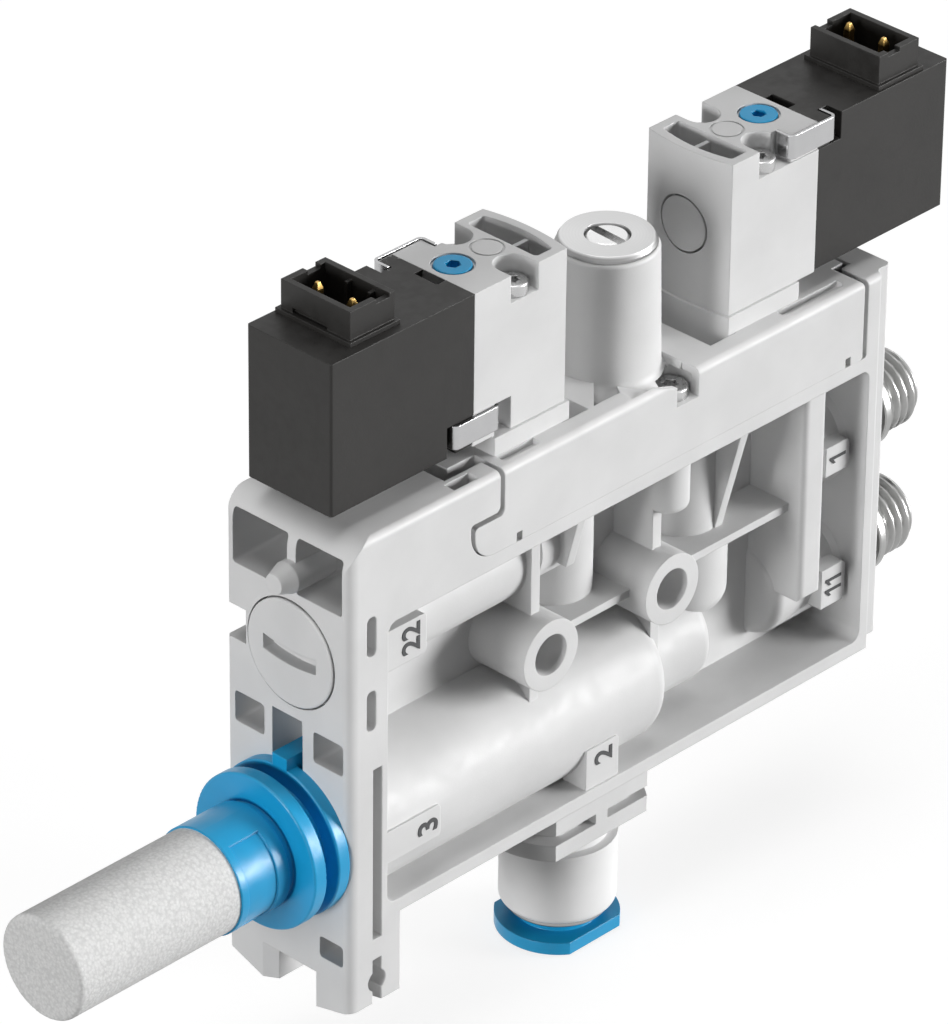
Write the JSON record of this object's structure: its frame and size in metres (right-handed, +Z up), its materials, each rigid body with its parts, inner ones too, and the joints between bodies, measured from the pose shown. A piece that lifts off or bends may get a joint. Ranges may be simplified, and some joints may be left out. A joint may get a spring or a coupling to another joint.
{
  "type": "vacuum ejector",
  "caption": "Ribbed plastic vacuum ejector block with plug-in silencer, pilot solenoid valves, flow-control tower, push-in vacuum port and threaded supply nipples.",
  "frame": {"origin": "midway between the two mounting holes, on the middle plane of the housing", "axes": "+X along the length towards the threaded supply nipples (silencer at -X), +Y out of the back face that goes against the wall, +Z up to the pilot valves"},
  "size_m": [0.108, 0.015, 0.0775],
  "materials": {
    "housing_plastic": "light grey moulded, fine texture",
    "coil_plastic": "charcoal moulded",
    "blue_plastic": "mid blue, half gloss",
    "porous_white": "white, sintered grain",
    "white_plastic": "white, half gloss",
    "contact_gold": "gold-brown plated",
    "bright_metal": "nickel plated",
    "spring_steel": "bright spring steel",
    "core_steel": "ground steel",
    "brass": "turned",
    "seal_rubber": "matt"
  },
  "bodies": {
    "body": {"housing": "housing_plastic", "valve_plate": "housing_plastic", "plate_seal": "seal_rubber", "plate_screws": "bright_metal", "valve_screws": "bright_metal", "flow_bush": "bright_metal", "end_cap": "housing_plastic", "cap_seal": "seal_rubber", "silencer_body": "blue_plastic", "silencer_seal": "seal_rubber", "silencer_sleeve": "porous_white", "receiver_nozzle": "brass", "jet_nozzle": "brass", "fitting_body": "white_plastic", "tube_seal": "seal_rubber", "retainer_ring": "bright_metal", "supply_nipple_upper": "bright_metal", "supply_nipple_lower": "bright_metal", "valve_base_left": "housing_plastic", "side_plug_left": "housing_plastic", "coil_left": "coil_plastic", "plug_socket_left": "coil_plastic", "contact_pins_left": "contact_gold", "override_spring_left": "spring_steel", "upper_clip_left": "spring_steel", "lower_clip_left": "spring_steel", "base_seal_left": "seal_rubber", "valve_base_right": "housing_plastic", "side_plug_right": "housing_plastic", "coil_right": "coil_plastic", "plug_socket_right": "coil_plastic", "contact_pins_right": "contact_gold", "override_spring_right": "spring_steel", "upper_clip_right": "spring_steel", "lower_clip_right": "spring_steel", "base_seal_right": "seal_rubber"},
    "override_left": {"override_left": "blue_plastic"},
    "override_right": {"override_right": "blue_plastic"},
    "armature_left": {"armature_left": "core_steel"},
    "armature_right": {"armature_right": "core_steel"},
    "adjusting_screw": {"adjusting_screw": "bright_metal"},
    "needle": {"needle": "core_steel"},
    "release_ring": {"release_ring": "blue_plastic"}
  },
  "joints": [
    {"name": "override_left_push", "type": "slide", "parent": "body", "child": "override_left", "axis": [0, 0, -1], "range_m": [0, 0.0007], "stiffness_N_per_m": 500, "springref_m": -0.0005, "deforming": ["override_spring_left"]},
    {"name": "armature_left_stroke", "type": "slide", "parent": "body", "child": "armature_left", "axis": [1, 0, 0], "range_m": [0, 0.0004], "stiffness_N_per_m": 600, "springref_m": -0.0005},
    {"name": "override_right_push", "type": "slide", "parent": "body", "child": "override_right", "axis": [0, 0, -1], "range_m": [0, 0.0007], "stiffness_N_per_m": 500, "springref_m": -0.0005, "deforming": ["override_spring_right"]},
    {"name": "armature_right_stroke", "type": "slide", "parent": "body", "child": "armature_right", "axis": [-1, 0, 0], "range_m": [0, 0.0004], "stiffness_N_per_m": 600, "springref_m": -0.0005},
    {"name": "flow_screw_turn", "type": "hinge", "parent": "body", "child": "adjusting_screw", "pos_m": [0.00654, 0, 0.031], "axis": [0, 0, 1], "range_deg": [-540, 540]},
    {"name": "needle_lift", "type": "slide", "parent": "body", "child": "needle", "axis": [0, 0, 1], "range_m": [-0.00075, 0.00075]},
    {"name": "release_ring_push", "type": "slide", "parent": "body", "child": "release_ring", "axis": [0, 0, 1], "range_m": [0, 0.0009], "stiffness_N_per_m": 400, "springref_m": -0.0005}
  ],
  "couplings": [
    {"joint": "flow_screw_turn", "follows": "needle_lift", "rad_per_m": 12566}
  ]
}
